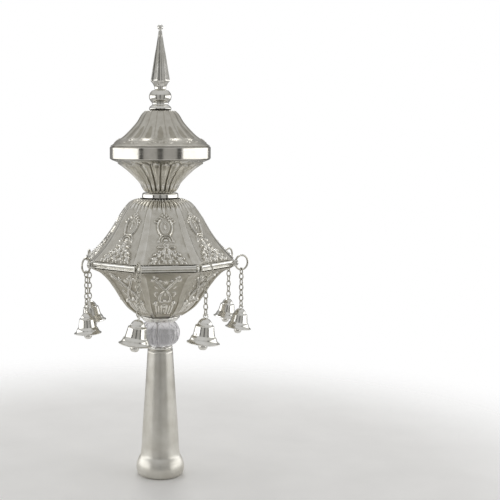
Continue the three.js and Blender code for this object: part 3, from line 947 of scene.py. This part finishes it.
def make_pendant(number, corner, wire, polished):
    """A ring in its lug, the chain that hangs from it, and the bell on the chain's end."""
    hook = math.radians(station(corner))
    centre = np.array(middle(f"hanging_ring_{number}"))
    outwards = centre - np.array([RING_HOOK * math.cos(hook), RING_HOOK * math.sin(hook), centre[2]])
    outwards /= np.linalg.norm(outwards)
    sideways = np.cross(UP, outwards)
    ring = loop_of_wire(centre, outwards, UP, RING_RADIUS, RING_RADIUS, RING_WIRE, 56, 12)
    name = f"hanging_ring_{number}"
    piece(name, [ring], wire, [name], welded=True)

    name = f"chain_{number}"
    top = centre[2] - RING_RADIUS + RING_WIRE + 2 * LINK_WIRE + 0.3
    links = []
    for i in range(LINKS):
        across = sideways if i % 2 == 0 else outwards
        at = np.array([centre[0], centre[1], top - LINK_LENGTH / 2 - i * LINK_PITCH])
        half_width, half_length = LINK_WIDTH / 2 - LINK_WIRE, LINK_LENGTH / 2 - LINK_WIRE
        links.append(loop_of_wire(at, across, UP, half_width, half_length, LINK_WIRE, 24, 8))
    piece(name, links, wire, [name], welded=True)
    loop_top = top - LINK_LENGTH - (LINKS - 1) * LINK_PITCH + 2 * LINK_WIRE + 0.6
    eye = np.array([centre[0], centre[1], loop_top - BELL_LOOP + LINK_WIRE])
    make_bell(number, eye, outwards, corner, polished)


BELL_FACETS = 64
BELL_OUTSIDE = [[11.8, 0.4], [10.9, 0.9], [9.8, 2.1], [8.9, 4.2], [7.9, 5.4]]
BELL_BODY = [[7.9, 5.4], [7.3, 8.6], [6.6, 12.6]]
BELL_CAP = [[6.6, 12.6], [5.4, 13.4], [4.6, 15.2], [2.8, 17.2], [0, 18.2]]
BELL_INSIDE = [[0, 15.4], [4.2, 13.6], [5.8, 11.8], [6.6, 7], [8, 3.2], [11.2, 0]]
CLAPPER_WEIGHT = [[0, -5], [2.2, -4.6], [3.2, -3.2], [3.1, -1], [1.6, 0.6], [0.6, 1.6]]


def make_bell(number, eye, outwards, corner, material):
    """A bell and its clapper, drawn upright under the loop's middle and then leant about it."""
    lean = BELL_SIZE[corner] * np.array(Matrix.Rotation(math.radians(BELL_TILT[corner]), 3, "Y"))
    lip = BELL_LOOP - 2 * LINK_WIRE + BELL_HEIGHT

    def leant(points):
        return points @ lean.T + eye

    name = f"bell_{number}"
    flare = smooth(BELL_OUTSIDE, 0.5).tolist()
    body = smooth(BELL_BODY, 0.8)[1:].tolist()
    cap = smooth(BELL_CAP, 0.5).tolist()
    profile = smooth(BELL_INSIDE, 1.2).tolist() + [[11.6, 0]] + flare + body + cap
    angles = np.arange(BELL_FACETS) * 360 / BELL_FACETS
    cup = leant(spun(np.array(profile) - [0, lip], angles))
    loop, *wraps = loop_of_wire(np.zeros(3), outwards, UP, BELL_LOOP, BELL_LOOP, LINK_WIRE, 24, 8)
    grids = [(cup, False, True), (leant(loop), *wraps)]
    piece(name, grids, material, [name], welded=True)

    name = f"clapper_{number}"
    shape = smooth(CLAPPER_WEIGHT, 0.5).tolist() + [[0.6, 8], [0.6, 13], [0, 13]]
    weight = leant(spun(np.array(shape) - [0, lip], np.arange(24) * 15))
    piece(name, [(weight, False, True)], material, [name], welded=True)


# The scene

make_camera()
make_room()
make_lights()

floor_mesh = bpy.data.meshes.new("floor")
floor_work = bmesh.new()
bmesh.ops.create_circle(floor_work, cap_ends=True, radius=FLOOR_FADES[1], segments=96)
floor_work.to_mesh(floor_mesh)
floor_work.free()
floor_mesh.materials.append(pale_board())
floor = bpy.data.objects.new("floor", floor_mesh)
bpy.context.collection.objects.link(floor)

bpy.context.scene.view_settings.view_transform = "Standard"

polished = polished_silver()
chased = chased_silver()
satin = satin_silver()
crystal = cut_crystal()
wire = worn_wire()

make_body(chased, polished)
make_crown(chased, turned_silver())
make_turned(polished, satin)
make_spire(polished)
make_crystal(crystal)
for order, corner in enumerate(HUNG):
    make_pendant(order + 1, corner, wire, polished)
